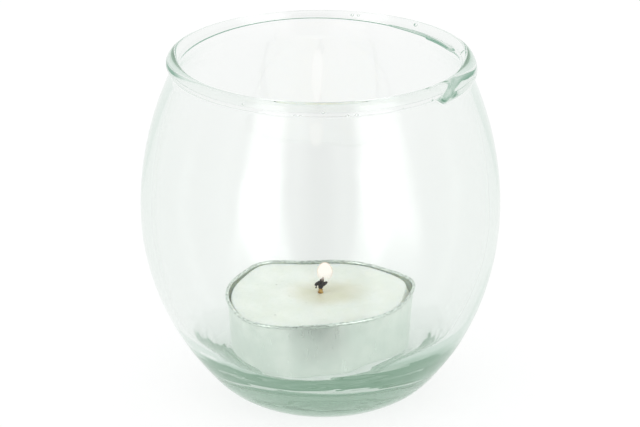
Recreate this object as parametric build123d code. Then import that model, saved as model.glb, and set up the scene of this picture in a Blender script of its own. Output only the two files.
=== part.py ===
from build123d import *
import math
import os

# Clear glass candle bowl with a tealight standing in it.
# Millimetres, +Z up. The origin is the middle of the ring that the bowl stands on.

# Glass bowl, outside
belly_radius = 35.85
belly_height = 39.6
lower_arc_radius = 51.4
foot_radius = 14.7
foot_corner_radius = 18.2
neck_radius = 28.87
neck_height = 69.0
foot_recess_radius = 12.0
foot_recess_depth = 0.5

# Glass bowl, inside
belly_wall = 2.2
neck_wall = 1.07
floor_height = 9.5
floor_corner_radius = 10.5

# Height over the floor at which the thick base ends and the wall begins
base_split_rise = 0.2

# Rolled glass bead round the mouth
bead_radius = 1.42
bead_overhang = 1.55
bead_rise = 0.68
bead_crease_radius = 0.35
bead_lip_radius = 1.2

# Lap, where the two ends of the glass bead ran over each other
lap_radius = 1.95
lap_drop = 0.55
lap_swell = 0.35
lap_thick_end_angle = -39.0
lap_thin_end_angle = 4.0
lap_buried_share = 0.8
lap_lean_share = 0.55
lap_sections = 5

# Aluminium tealight cup, squeezed out of round by handling
cup_rim_radius = 18.3
cup_base_radius = 17.3
cup_height = 12.0
cup_foil = 0.2
cup_corner_radius = 0.9
cup_roll_width = 0.4
cup_roll_height = 0.8
roll_round_share = 0.45
cup_panel_radius = 12.5
cup_panel_rise = 0.4
cup_shift_x = -0.5
cup_shift_y = -0.5
outline_points = 40

# Bulges and dents of the rim: direction and spread in degrees, height as a share of the rim radius
bulge_shares = (
    (-127, 24, 0.107),
    (125, 17, 0.120),
    (17, 17, 0.095),
    (99, 31, -0.117),
    (-74, 37, -0.074),
)
base_bulge_share = 0.3

# Wax, shrunk away from the foil in two places
wax_clearance = 0.3
wax_below_rim = 0.4
wax_edge_radius = 0.35
wax_gap_shares = (
    (8, 24, 0.055),
    (165, 26, 0.025),
)

# Tin wick holder under the wax
holder_radius = 6.2
holder_sheet = 0.25
holder_neck_height = 3.4
holder_neck_wall = 0.3
holder_neck_flare = 0.7
crimp_depth = 0.15
crimp_height = 1.2
fit_gap = 0.03

# Cotton wick, burnt and bent above the wax
wick_radius = 0.7
wick_shift_x = 0.5
wick_shift_y = 0.5
wick_stem_height = 0.9
wick_tip_height = 2.0
wick_lean = 1.1
wick_bend_radius = 1.0
curl_radius = 0.62
curl_tube_radius = 0.33
curl_turn = 205.0
fray_length = 0.6
fray_radius = 0.28
fray_tilts = (5.0, 62.0)

overrun = 1.0
full_turn = 360.0
half_turn = 180.0


def arc_radius(depth, height):
    """Radius of an arc that leaves the vertical and draws in by depth over height."""
    return (depth * depth + height * height) / (depth + depth)


def toward(start, end, length):
    """Point at a length from start on the line through end."""
    apart = math.dist(start, end)
    return (
        start[0] + (end[0] - start[0]) * length / apart,
        start[1] + (end[1] - start[1]) * length / apart,
    )


def crossings(first, first_radius, second, second_radius):
    """The two points where two circles cross, the lower one first."""
    apart = math.dist(first, second)
    along = (apart * apart + first_radius * first_radius - second_radius * second_radius) / (apart + apart)
    across = math.sqrt(first_radius * first_radius - along * along)
    foot = toward(first, second, along)
    step = ((foot[1] - first[1]) / along * across, (first[0] - foot[0]) / along * across)
    points = [(foot[0] + side * step[0], foot[1] + side * step[1]) for side in (1, -1)]
    return sorted(points, key=lambda point: point[1])


def arc_round(centre, start, end):
    """Arc of under half a turn about a centre."""
    middle = ((start[0] + end[0]) / 2, (start[1] + end[1]) / 2)
    return ThreePointArc(start, toward(centre, middle, math.dist(centre, start)), end)


# Centres of the arcs of the bowl's section, as radius and height
inner_belly_radius = belly_radius - belly_wall
inner_neck_radius = neck_radius - neck_wall
neck_rise = neck_height - belly_height
upper_arc_radius = arc_radius(belly_radius - neck_radius, neck_rise)
inner_upper_arc_radius = arc_radius(inner_belly_radius - inner_neck_radius, neck_rise)
inner_lower_arc_radius = lower_arc_radius - belly_wall
lower_centre = (belly_radius - lower_arc_radius, belly_height)
upper_centre = (belly_radius - upper_arc_radius, belly_height)
inner_upper_centre = (inner_belly_radius - inner_upper_arc_radius, belly_height)
bead_centre_radius = neck_radius + bead_overhang - bead_radius
bead_centre_height = neck_height + bead_rise
bead_centre = (bead_centre_radius, bead_centre_height)
crease_centre = crossings(
    upper_centre, upper_arc_radius + bead_crease_radius, bead_centre, bead_radius + bead_crease_radius
)[0]
lip_centre = crossings(
    inner_upper_centre, inner_upper_arc_radius - bead_lip_radius, bead_centre, bead_radius + bead_lip_radius
)[0]
foot_edge = (foot_radius, 0)
foot_corner_centre = crossings(
    lower_centre, lower_arc_radius - foot_corner_radius, foot_edge, foot_corner_radius
)[1]
floor_corner_height = floor_height + floor_corner_radius
floor_corner_reach = math.sqrt(
    (inner_lower_arc_radius - floor_corner_radius) ** 2 - (belly_height - floor_corner_height) ** 2
)
floor_corner_centre = (lower_centre[0] + floor_corner_reach, floor_corner_height)
split_height = floor_height + base_split_rise


def bowl_section():
    """Half section of the whole bowl: dished foot, belly, creased neck, round bead, inner wall and floor."""
    belly = (belly_radius, belly_height)
    inner_belly = (inner_belly_radius, belly_height)
    recess_edge = (foot_recess_radius, 0)
    recess_top = (0, foot_recess_depth)
    recess_centre = (0, foot_recess_depth - arc_radius(foot_recess_depth, foot_recess_radius))
    foot_corner_end = toward(lower_centre, foot_corner_centre, lower_arc_radius)
    crease_start = toward(crease_centre, upper_centre, bead_crease_radius)
    crease_end = toward(crease_centre, bead_centre, bead_crease_radius)
    bead_side = (bead_centre_radius + bead_radius, bead_centre_height)
    bead_top = (bead_centre_radius, bead_centre_height + bead_radius)
    lip_start = toward(lip_centre, bead_centre, bead_lip_radius)
    lip_end = toward(inner_upper_centre, lip_centre, inner_upper_arc_radius)
    corner_start = toward(lower_centre, floor_corner_centre, inner_lower_arc_radius)
    corner_end = (floor_corner_centre[0], floor_height)
    with BuildSketch(Plane.XZ) as section:
        with BuildLine():
            arc_round(recess_centre, recess_top, recess_edge)
            Line(recess_edge, foot_edge)
            arc_round(foot_corner_centre, foot_edge, foot_corner_end)
            arc_round(lower_centre, foot_corner_end, belly)
            arc_round(upper_centre, belly, crease_start)
            arc_round(crease_centre, crease_start, crease_end)
            arc_round(bead_centre, crease_end, bead_side)
            arc_round(bead_centre, bead_side, bead_top)
            arc_round(bead_centre, bead_top, lip_start)
            arc_round(lip_centre, lip_start, lip_end)
            arc_round(inner_upper_centre, lip_end, inner_belly)
            arc_round(lower_centre, inner_belly, corner_start)
            arc_round(floor_corner_centre, corner_start, corner_end)
            Line(corner_end, (0, floor_height))
            Line((0, floor_height), recess_top)
        make_face()
    return section.sketch


def ring_edge(shape, radius, height):
    """The round edge of a turned shape that passes nearest to a radius and height."""
    rings = shape.edges().filter_by(GeomType.CIRCLE)
    return rings.sort_by(lambda ring: math.hypot(ring.radius - radius, ring.arc_center.Z - height))[0]


def lap():
    """Swollen stretch of the bead: thick at one end, fading into the bead at the other."""
    sections = []
    for step in range(lap_sections):
        along = step / (lap_sections - 1)
        swell = math.sin(math.pi * along**lap_lean_share)
        angle = lap_thick_end_angle + (lap_thin_end_angle - lap_thick_end_angle) * along
        buried = bead_radius * lap_buried_share
        radius = buried + (lap_radius - buried) * swell
        outward = Vector(1, 0, 0).rotate(Axis.Z, angle)
        centre = outward * (bead_centre_radius + lap_swell * swell)
        centre += Vector(0, 0, bead_centre_height - lap_drop * swell)
        across = Plane(origin=centre, x_dir=outward, z_dir=outward.cross(Vector(0, 0, 1)))
        sections.append(across * Circle(radius))
    return loft(sections)


def glass_bowl():
    """The bowl in two solids that meet level: the thick base under the floor, and the wall with its rim."""
    glass = revolve(bowl_section(), Axis.Z, full_turn)
    below = Pos(0, 0, split_height / 2) * Cylinder(belly_radius, split_height)
    return glass & below, (glass - below) + lap()


def outline_radius(angle, share, inset):
    """Radius of the cup's outer wall at an angle and a share of its height, less an inset."""
    rim = cup_rim_radius
    base = cup_base_radius
    for direction, spread, height in bulge_shares:
        away = (angle - direction + half_turn) % full_turn - half_turn
        bulge = height * cup_rim_radius * math.exp(-((away / spread) ** 2))
        rim += bulge
        base += bulge * base_bulge_share
    return base + (rim - base) * share - inset


def wax_gap(angle):
    """Extra gap where the wax has shrunk away from the foil."""
    gap = 0
    for direction, spread, height in wax_gap_shares:
        away = (angle - direction + half_turn) % full_turn - half_turn
        gap += height * cup_rim_radius * math.exp(-((away / spread) ** 2))
    return gap


def outline_face(height, inset, wax=False):
    """Flat face with the cup's outline at a height above the cup's foot."""
    points = []
    for step in range(outline_points):
        angle = full_turn * step / outline_points
        shrink = wax_gap(angle) if wax else 0
        radius = outline_radius(angle, height / cup_height, inset + shrink)
        points.append((radius * math.cos(math.radians(angle)), radius * math.sin(math.radians(angle))))
    with BuildSketch(Plane.XY.offset(height)) as face:
        with BuildLine():
            Spline(points, periodic=True)
        make_face()
    return face.sketch


def outline_block(low, high, inset, wax=False):
    """Solid between two heights that follows the cup's leaning, out-of-round wall."""
    return loft([outline_face(low, inset, wax), outline_face(high, inset, wax)], ruled=True)


def edges_at(shape, height):
    return shape.edges().filter_by_position(Axis.Z, height - fit_gap, height + fit_gap)


def tealight_cup():
    shell = outline_block(0, cup_height - cup_roll_height / 2, 0)
    shell = fillet(edges_at(shell, 0), cup_corner_radius)
    roll = extrude(outline_face(cup_height, -cup_roll_width), amount=-cup_roll_height)
    roll = fillet(roll.edges().filter_by(GeomType.BSPLINE), cup_roll_height * roll_round_share)
    hollow = outline_block(cup_foil, cup_height + overrun, cup_foil)
    hollow = fillet(edges_at(hollow, cup_foil), cup_corner_radius - cup_foil)
    panel_height = cup_foil + cup_panel_rise
    panel = Pos(0, 0, panel_height / 2) * Cylinder(cup_panel_radius, panel_height)
    dish = Pos(0, 0, cup_panel_rise / 2) * Cylinder(cup_panel_radius - cup_foil, cup_panel_rise)
    return (shell + roll) - (hollow - panel) - dish


def crimped_holder():
    """Tin disc with a neck that is pinched on to the wick."""
    neck_radius_outer = wick_radius + fit_gap + holder_neck_wall
    with BuildSketch(Plane.XZ) as section:
        with BuildLine():
            Polyline(
                (wick_radius + fit_gap, 0),
                (holder_radius, 0),
                (holder_radius, holder_sheet),
                (neck_radius_outer, holder_sheet),
                (neck_radius_outer, holder_neck_height),
                (wick_radius + fit_gap, holder_neck_height),
                close=True,
            )
        make_face()
    body = revolve(section.sketch, Axis.Z, full_turn)
    body = fillet(ring_edge(body, neck_radius_outer, holder_sheet), holder_neck_flare)
    jaw_radius = crimp_height
    jaw_reach = neck_radius_outer - crimp_depth + jaw_radius
    for side in (-1, 1):
        jaw = Rot(90, 0, 0) * Cylinder(jaw_radius, holder_radius)
        body -= Pos(side * jaw_reach, 0, holder_neck_height - crimp_height) * jaw
    return body


def wick(wax_top):
    """Upright cotton core, with its charred end bent over, curled and frayed."""
    bend = (0, 0, wax_top + wick_stem_height)
    tip = (wick_lean, 0, wax_top + wick_tip_height)
    path = FilletPolyline((0, 0, 0), bend, tip, radius=wick_bend_radius)
    core = sweep(Plane.XY * Circle(wick_radius), path=path)
    core += Pos(*tip) * Sphere(wick_radius)
    curl_centre = (-curl_radius, 0, wax_top + wick_stem_height)
    with BuildSketch(Plane.XY) as tube:
        with Locations((curl_radius, 0)):
            Circle(curl_tube_radius)
    curl = revolve(tube.sketch, Axis.Y, -curl_turn)
    end_angle = math.radians(curl_turn)
    end = Pos(curl_radius * math.cos(end_angle), 0, curl_radius * math.sin(end_angle))
    curl += end * Sphere(curl_tube_radius)
    core += Pos(*curl_centre) * curl
    for tilt in fray_tilts:
        fray = Pos(0, 0, (wick_radius + fray_length) / 2) * Cone(
            fray_radius, fray_radius / 2, wick_radius + fray_length
        )
        core += Pos(*tip) * Rot(0, tilt, 0) * fray
    return core


cup_place = Pos(cup_shift_x, cup_shift_y, floor_height)
holder_height = cup_foil + cup_panel_rise
holder_place = cup_place * Pos(wick_shift_x, wick_shift_y, holder_height)
wax_top_height = cup_height - wax_below_rim


def wax_fill(holder_solid):
    """Wax pill, cast round the wick and its holder, with the cup's panel sunk into its underside."""
    inset = cup_foil + wax_clearance
    body = outline_block(cup_foil, wax_top_height, inset, wax=True)
    body = fillet(edges_at(body, wax_top_height), wax_edge_radius)
    body = fillet(edges_at(body, cup_foil), cup_corner_radius)
    panel_pocket = Pos(0, 0, cup_foil + cup_panel_rise / 2) * Cylinder(
        cup_panel_radius + wax_clearance, cup_panel_rise
    )
    bore = Pos(wick_shift_x, wick_shift_y, (cup_height + overrun) / 2) * Cylinder(
        wick_radius + fit_gap, cup_height + overrun
    )
    return cup_place * (body - panel_pocket - bore) - holder_solid


def main():
    os.makedirs("parts", exist_ok=True)
    base, wall = glass_bowl()
    cup = cup_place * tealight_cup()
    holder = holder_place * crimped_holder()
    cord = holder_place * wick(wax_top_height - holder_height)
    wax = wax_fill(holder)
    export_step(base, "parts/glass_base.step")
    export_step(wall, "parts/glass_wall.step")
    export_step(cup, "parts/tealight_cup.step")
    export_step(wax, "parts/wax_fill.step")
    export_step(cord, "parts/wick.step")
    export_step(holder, "parts/wick_sustainer.step")
    print("bowl height", round(wall.bounding_box().max.Z, 2), "width", round(wall.bounding_box().size.X, 2))
    print("flat floor radius", round(floor_corner_centre[0], 2), "mouth radius", round(inner_neck_radius, 2))


main()
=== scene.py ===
# %% [markdown]
# A tealight in a glass bowl
#
# This lesson dresses a small candle bowl. The bowl is clear pressed glass with a thick green foot and a
# rolled rim. A tealight stands in it: a thin aluminium cup, wax, a burnt wick and a small flame. The solids
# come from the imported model. The glass, the cup, the wax and the wick are then made again as smooth meshes
# that fit the same space, because refraction and soft highlights show every facet.

# %% Load the frame
import math

import bmesh
import bpy
from mathutils import Matrix, Vector, noise


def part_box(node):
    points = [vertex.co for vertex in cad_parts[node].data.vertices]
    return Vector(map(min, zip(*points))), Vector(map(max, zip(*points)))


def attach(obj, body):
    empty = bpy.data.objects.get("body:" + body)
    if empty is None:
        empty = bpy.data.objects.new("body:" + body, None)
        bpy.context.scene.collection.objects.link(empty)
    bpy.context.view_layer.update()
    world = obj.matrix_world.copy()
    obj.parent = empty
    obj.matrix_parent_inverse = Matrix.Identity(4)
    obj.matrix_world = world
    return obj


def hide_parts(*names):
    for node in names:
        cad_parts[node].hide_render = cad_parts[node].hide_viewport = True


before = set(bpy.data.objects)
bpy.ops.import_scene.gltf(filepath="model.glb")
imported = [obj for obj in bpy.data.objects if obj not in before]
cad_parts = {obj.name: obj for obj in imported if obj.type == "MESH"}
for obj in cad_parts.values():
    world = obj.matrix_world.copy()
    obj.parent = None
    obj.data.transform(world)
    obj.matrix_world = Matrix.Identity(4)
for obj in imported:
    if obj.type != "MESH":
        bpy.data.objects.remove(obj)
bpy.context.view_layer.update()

MM = 0.001

# %% [markdown]
# Sizes
#
# The boxes of the solids give the height of the bowl, the radius of its belly and the heights of the candle.
# The rest are the driving sizes of the bowl's section, in millimetres, the same as in the solid model.

# %% Sizes from the frame
_, wall_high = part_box("glass_wall")
cup_low, cup_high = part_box("tealight_cup")
wax_low, wax_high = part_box("wax_fill")
_, wick_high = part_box("wick")
holder_low, holder_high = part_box("wick_sustainer")
BELLY_RADIUS = wall_high.y / MM
BOWL_HEIGHT = wall_high.z / MM
FLOOR_HEIGHT = cup_low.z / MM
CUP_HEIGHT = (cup_high.z - cup_low.z) / MM
WAX_LOW = wax_low.z / MM
WAX_TOP = wax_high.z / MM
HOLDER_LOW = holder_low.z / MM
WICK_X = (holder_low.x + holder_high.x) / 2 / MM
WICK_Y = (holder_low.y + holder_high.y) / 2 / MM
WICK_TOP = wick_high.z / MM
print("belly radius %.2f mm, bowl %.2f mm tall" % (BELLY_RADIUS, BOWL_HEIGHT))
print("floor at %.2f mm, cup %.2f mm tall, wax top at %.2f mm" % (FLOOR_HEIGHT, CUP_HEIGHT, WAX_TOP))
print("wick at %.2f, %.2f mm, its top at %.2f mm" % (WICK_X, WICK_Y, WICK_TOP))

# %% Sizes of the glass
BELLY_HEIGHT = 39.6
LOWER_ARC_RADIUS = 51.4
FOOT_RADIUS = 14.7
FOOT_CORNER = 18.2
NECK_RADIUS = 28.87
NECK_HEIGHT = 69.0
DISH_RADIUS = 12.0
DISH_DEPTH = 0.5
BELLY_WALL = 2.2
NECK_WALL = 1.07
FLOOR_CORNER = 10.5
BEAD_RADIUS = 1.42
BEAD_CENTRE_RADIUS = 29.0
BEAD_CENTRE_HEIGHT = BOWL_HEIGHT - BEAD_RADIUS
CREASE_RADIUS = 0.35
LIP_RADIUS = 1.2

# %% [markdown]
# Small helpers
#
# One function turns a written sRGB colour into linear light, one adds a shader node with its settings and
# links, and one turns a finished bmesh into a piece. The names in capitals are settings that many nodes
# share: what a Math node works out, a smooth step instead of a straight one, and a Mix of colours. Two more
# functions carry the last vertex of a section along a line or an arc, so that a turned piece is drawn as a
# potter's template is: one edge after another.

# %% Colours and nodes
TIMES = {"operation": "MULTIPLY"}
PLUS = {"operation": "ADD"}
MINUS = {"operation": "SUBTRACT"}
TIMES_PLUS = {"operation": "MULTIPLY_ADD"}
LARGER = {"operation": "MAXIMUM"}
OVER = {"operation": "GREATER_THAN"}
UNDER = {"operation": "LESS_THAN"}
EASED = {"interpolation_type": "SMOOTHSTEP"}
COLOURS = {"data_type": "RGBA"}


def linear(hex_colour):
    """The linear red, green, blue and alpha of a colour written as sRGB hex."""
    channels = [int(hex_colour[i:i + 2], 16) / 255 for i in (1, 3, 5)]
    return [c / 12.92 if c <= 0.04045 else ((c + 0.055) / 1.055) ** 2.4 for c in channels] + [1.0]


def add_node(tree, kind, settings=None, **inputs):
    """Adds a shader node. Inputs go by name, or by i and a number, and are values, sockets or nodes."""
    node = tree.nodes.new("ShaderNode" + kind)
    for name, value in (settings or {}).items():
        setattr(node, name, value)
    for name, value in inputs.items():
        socket = node.inputs[int(name[1:])] if name[1:].isdigit() else node.inputs[name.replace("_", " ")]
        if isinstance(value, bpy.types.Node):
            value = value.outputs[0]
        if isinstance(value, bpy.types.NodeSocket):
            tree.links.new(value, socket)
        else:
            socket.default_value = value
    return node


def new_material(name):
    """An empty material with an output node."""
    material = bpy.data.materials.new(name)
    material.use_nodes = True
    material.node_tree.nodes.clear()
    output = material.node_tree.nodes.new("ShaderNodeOutputMaterial")
    print("finish:", name)
    return material, material.node_tree, output


# %% Pieces
def new_object(name, bm, material):
    """Turns a finished bmesh, in millimetres, into a smooth object."""
    bmesh.ops.scale(bm, vec=(MM, MM, MM), verts=bm.verts[:])
    mesh = bpy.data.meshes.new(name)
    bm.to_mesh(mesh)
    bm.free()
    mesh.shade_smooth()
    mesh.materials.append(material)
    made = bpy.data.objects.new(name, mesh)
    bpy.context.scene.collection.objects.link(made)
    print(name, len(mesh.polygons), "faces")
    return made


def arc_to(bm, vertex, centre, turn, steps):
    """Carries the last vertex of a section round a centre, which draws an arc."""
    ends = bmesh.ops.spin(
        bm, geom=[vertex], cent=(centre[0], 0, centre[1]), axis=(0, -1, 0), angle=turn, steps=steps
    )
    return [v for v in ends["geom_last"] if isinstance(v, bmesh.types.BMVert)][0]


def line_to(bm, vertex, radius, height, steps=1):
    """Carries the last vertex of a section along a straight line."""
    start = vertex.co.copy()
    end = Vector((radius, 0, height))
    for step in range(1, steps + 1):
        vertex = bmesh.ops.extrude_vert_indiv(bm, verts=[vertex])["verts"][0]
        vertex.co = start.lerp(end, step / steps)
    return vertex


# %% Turning
FULL_CIRCLE = 360.0
MERGE_DISTANCE = 0.0005


def turn_section(bm, stretches, start=0.0):
    """Turns a section once round the Z axis, in stretches of an angle and a number of steps."""
    bmesh.ops.rotate(bm, cent=(0, 0, 0), matrix=Matrix.Rotation(start, 3, "Z"), verts=bm.verts[:])
    last = bm.verts[:] + bm.edges[:]
    for angle, steps in stretches:
        last = bmesh.ops.spin(
            bm, geom=last, cent=(0, 0, 0), axis=(0, 0, 1), angle=angle, steps=steps,
            use_merge=len(stretches) == 1,
        )["geom_last"]
    bmesh.ops.remove_doubles(bm, verts=bm.verts[:], dist=MERGE_DISTANCE)
    bmesh.ops.recalc_face_normals(bm, faces=bm.faces[:])


def smooth_step(value, low, high):
    """0 below low, 1 above high, and a smooth rise between them."""
    share = min(max((value - low) / (high - low), 0.0), 1.0)
    return share * share * (3 - 2 * share)


def hump(value, middle, spread):
    """A bell curve: 1 at the middle, and almost nothing past two spreads."""
    return math.exp(-(((value - middle) / spread) ** 2))


def wrap(angle, turn=math.tau):
    """An angle brought between minus and plus half a turn."""
    return (angle + turn / 2) % turn - turn / 2


def move_points(bm, rule):
    """Gives each vertex a new radius, angle in degrees and height by a rule, and returns the longest move."""
    longest = 0.0
    for vertex in bm.verts:
        radius = math.hypot(vertex.co.x, vertex.co.y)
        angle = math.degrees(math.atan2(vertex.co.y, vertex.co.x))
        radius, angle, height = rule(radius, angle, vertex.co.z)
        turn = math.radians(angle)
        place = Vector((radius * math.cos(turn), radius * math.sin(turn), height))
        longest = max(longest, (place - vertex.co).length)
        vertex.co = place
    return longest


# %% [markdown]
# The camera
#
# The photograph was taken from about 20 degrees above the table with a long lens, so the mouth and the candle
# are flat ellipses with little perspective. A target near the middle of the bowl keeps the frame.

# %% Camera
CAMERA_ELEVATION = math.radians(20.53)
CAMERA_DISTANCE = 770.0
CAMERA_X = -0.1
TARGET_HEIGHT = 37.8
PIXELS_PER_MM = 5.012
IMAGE_WIDTH = 640
SENSOR_WIDTH = 36.0
camera_data = bpy.data.cameras.new("camera")
camera_data.sensor_width = SENSOR_WIDTH
camera_data.lens = SENSOR_WIDTH * PIXELS_PER_MM * CAMERA_DISTANCE / IMAGE_WIDTH
camera_data.clip_start = 10 * MM
camera = bpy.data.objects.new("camera", camera_data)
bpy.context.scene.collection.objects.link(camera)
camera.location = Vector((
    CAMERA_X,
    -CAMERA_DISTANCE * math.cos(CAMERA_ELEVATION),
    TARGET_HEIGHT + CAMERA_DISTANCE * math.sin(CAMERA_ELEVATION),
)) * MM
camera.rotation_euler = (math.pi / 2 - CAMERA_ELEVATION, 0, 0)
bpy.context.scene.camera = camera
bpy.context.scene.view_settings.view_transform = "Standard"
print("lens %.1f mm" % camera_data.lens)

# %% [markdown]
# Light and floor
#
# Clear glass shows what stands round it, so the room matters more than the lamps. The world and the floor are
# white to the camera and to every ray that the glass bends or mirrors, and light the pieces at a plainer
# level. Only rays that have been mirrored see two tall windows of brighter white, left and right of the
# camera, and a dim side behind the camera. The windows draw the soft streaks down the bowl, and the dim side
# keeps the glass between them clear. They are part of the world and the floor, and not lamps, so that their
# edges fade as the streaks in the photograph do.

# %% Rays
# A ray's depth is a whole number, so a limit lies half-way between two of them.
BETWEEN_DEPTHS = 0.5


def bent_by_glass(tree):
    """1 for rays that glass or metal mirrors or bends, else 0."""
    path = add_node(tree, "LightPath")
    glossy, bent = path.outputs["Is Glossy Ray"], path.outputs["Is Transmission Ray"]
    return add_node(tree, "Math", LARGER, i0=glossy, i1=bent)


def seen_directly(tree):
    """1 for the camera and for rays that glass or metal mirrors or bends, 0 for light on the pieces."""
    path = add_node(tree, "LightPath")
    return add_node(tree, "Math", LARGER, i0=path.outputs["Is Camera Ray"], i1=bent_by_glass(tree))


def mirrored_by_glass(tree):
    """1 for rays that glass or metal has mirrored at least once, else 0."""
    path = add_node(tree, "LightPath")
    return add_node(tree, "Math", OVER, i0=path.outputs["Glossy Depth"], i1=BETWEEN_DEPTHS)


# %% Windows and camera side
# Each has its middle, the half width at its full strength and the half width where it ends, in degrees.
WINDOWS = ((-39.0, 7.0, 17.0), (44.0, 10.0, 23.0))
CAMERA_SIDE = (9.0, 11.0, 26.0)
WINDOW_LIGHT = 1.5
CAMERA_SIDE_SHADE = 0.60
ROOM_IN_GLASS = 0.965


def upright_panes(tree, place, window_reach, camera_reach):
    """Light added by the windows and taken by the dim side of the camera, each where its reach isn't 0."""
    parts = add_node(tree, "SeparateXYZ", Vector=place)
    front = add_node(tree, "Math", TIMES, i0=parts.outputs["Y"], i1=-1.0)
    turn = add_node(tree, "Math", {"operation": "ARCTAN2"}, i0=parts.outputs["X"], i1=front)
    shares = []
    for pane in WINDOWS + (CAMERA_SIDE,):
        middle, full, faded = (math.radians(angle) for angle in pane)
        past = add_node(tree, "Math", MINUS, i0=turn, i1=middle)
        away = add_node(tree, "Math", {"operation": "ABSOLUTE"}, i0=past)
        shares.append(add_node(tree, "MapRange", EASED, i0=away, i1=full, i2=faded, i3=1.0, i4=0.0))
    window = add_node(tree, "Math", LARGER, i0=shares[0], i1=shares[1])
    bright = add_node(tree, "Math", TIMES, i0=window, i1=window_reach)
    side = add_node(tree, "Math", TIMES, i0=shares[2], i1=camera_reach)
    dim = add_node(tree, "Math", TIMES, i0=side, i1=-CAMERA_SIDE_SHADE)
    change = add_node(tree, "Math", TIMES_PLUS, i0=bright, i1=WINDOW_LIGHT, i2=dim)
    return add_node(tree, "Math", TIMES, i0=change, i1=mirrored_by_glass(tree))


def room_level(tree, full):
    """A full level for the camera, and a little less for what the glass shows."""
    less = full * (ROOM_IN_GLASS - 1.0)
    return add_node(tree, "Math", TIMES_PLUS, i0=bent_by_glass(tree), i1=less, i2=full)


# %% World
# A height in the world is the upward part of a direction, from 0 at the horizon to 1 overhead.
WORLD_LIGHT = 0.85
WINDOW_TOP = (0.55, 0.8)
CAMERA_SIDE_TOP = (0.85, 0.97)
world = bpy.data.worlds.new("white_room")
world.use_nodes = True
room_tree = world.node_tree
room_tree.nodes.clear()
world_output = room_tree.nodes.new("ShaderNodeOutputWorld")
direction = add_node(room_tree, "TexCoord").outputs["Generated"]
upward = add_node(room_tree, "SeparateXYZ", Vector=direction).outputs["Z"]
reaches = [
    add_node(room_tree, "MapRange", EASED, i0=upward, i1=full, i2=faded, i3=1.0, i4=0.0)
    for full, faded in (WINDOW_TOP, CAMERA_SIDE_TOP)
]
panes = upright_panes(room_tree, direction, *reaches)
seen_strength = add_node(room_tree, "Math", PLUS, i0=panes, i1=room_level(room_tree, 1.0))
room_light = add_node(room_tree, "Background", Color=linear("#ffffff"), Strength=WORLD_LIGHT)
room_seen = add_node(room_tree, "Background", Color=linear("#ffffff"), Strength=seen_strength)
room = add_node(room_tree, "MixShader", i0=seen_directly(room_tree), i1=room_light, i2=room_seen)
room_tree.links.new(room.outputs[0], world_output.inputs["Surface"])
bpy.context.scene.world = world
print("white room with", len(WINDOWS), "windows")

# %% Lamps
LAMP_DISTANCE = 900.0
# Each has an angle right of the front, a height angle, a side in millimetres and a power in watts.
SOFT_BOXES = (("soft_box_left", -50, 55, 700, 2.2), ("soft_box_right", 60, 50, 700, 1.4))


def soft_box(name, azimuth, elevation, size, power):
    """A square soft box that faces the bowl."""
    lamp = bpy.data.lights.new(name, "AREA")
    lamp.shape = "SQUARE"
    lamp.size = size * MM
    lamp.energy = power
    holder = bpy.data.objects.new(name, lamp)
    bpy.context.scene.collection.objects.link(holder)
    turn = math.radians(azimuth)
    lift = math.radians(elevation)
    toward = Vector((math.sin(turn) * math.cos(lift), -math.cos(turn) * math.cos(lift), math.sin(lift)))
    holder.location = (Vector((0, 0, BELLY_HEIGHT)) + toward * LAMP_DISTANCE) * MM
    holder.rotation_euler = toward.to_track_quat("Z", "Y").to_euler()
    holder.visible_camera = False
    holder.visible_glossy = False
    holder.visible_transmission = False
    print(name, "of", power, "W")


for box in SOFT_BOXES:
    soft_box(*box)

# %% Floor
FLOOR_SIZE = 3000.0
FLOOR_GLOW = 0.80
FLOOR_SHADE = 0.20
# Radii on the floor, in metres, between which the windows and the dim side begin to show.
WINDOW_FOOT = (0.05, 0.30)
CAMERA_SIDE_FOOT = (0.03, 0.06)


def paper_floor():
    """White paper sweep. To the eye it is white, and a little darker where the bowl keeps light from it."""
    material, tree, output = new_material("white_paper_sweep")
    place = add_node(tree, "TexCoord").outputs["Object"]
    parts = add_node(tree, "SeparateXYZ", Vector=place)
    x, y = parts.outputs["X"], parts.outputs["Y"]
    y_squared = add_node(tree, "Math", TIMES, i0=y, i1=y)
    squared = add_node(tree, "Math", TIMES_PLUS, i0=x, i1=x, i2=y_squared)
    reach = add_node(tree, "Math", {"operation": "SQRT"}, i0=squared)
    reaches = [
        add_node(tree, "MapRange", EASED, i0=reach, i1=none, i2=full)
        for none, full in (WINDOW_FOOT, CAMERA_SIDE_FOOT)
    ]
    panes = upright_panes(tree, place, *reaches)
    strength = add_node(tree, "Math", PLUS, i0=panes, i1=room_level(tree, FLOOR_GLOW))
    lit = add_node(tree, "BsdfDiffuse", Color=linear("#f2f2f2"))
    glow = add_node(tree, "Emission", Color=linear("#ffffff"), Strength=strength)
    shaded = add_node(tree, "BsdfDiffuse", Color=[FLOOR_SHADE] * 3 + [1.0])
    seen = add_node(tree, "AddShader", i0=glow, i1=shaded)
    mix = add_node(tree, "MixShader", i0=seen_directly(tree), i1=lit, i2=seen)
    tree.links.new(mix.outputs[0], output.inputs["Surface"])
    return material


floor_mesh = bmesh.new()
bmesh.ops.create_grid(floor_mesh, x_segments=8, y_segments=8, size=FLOOR_SIZE / 2)
floor = new_object("floor", floor_mesh, paper_floor())
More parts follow.
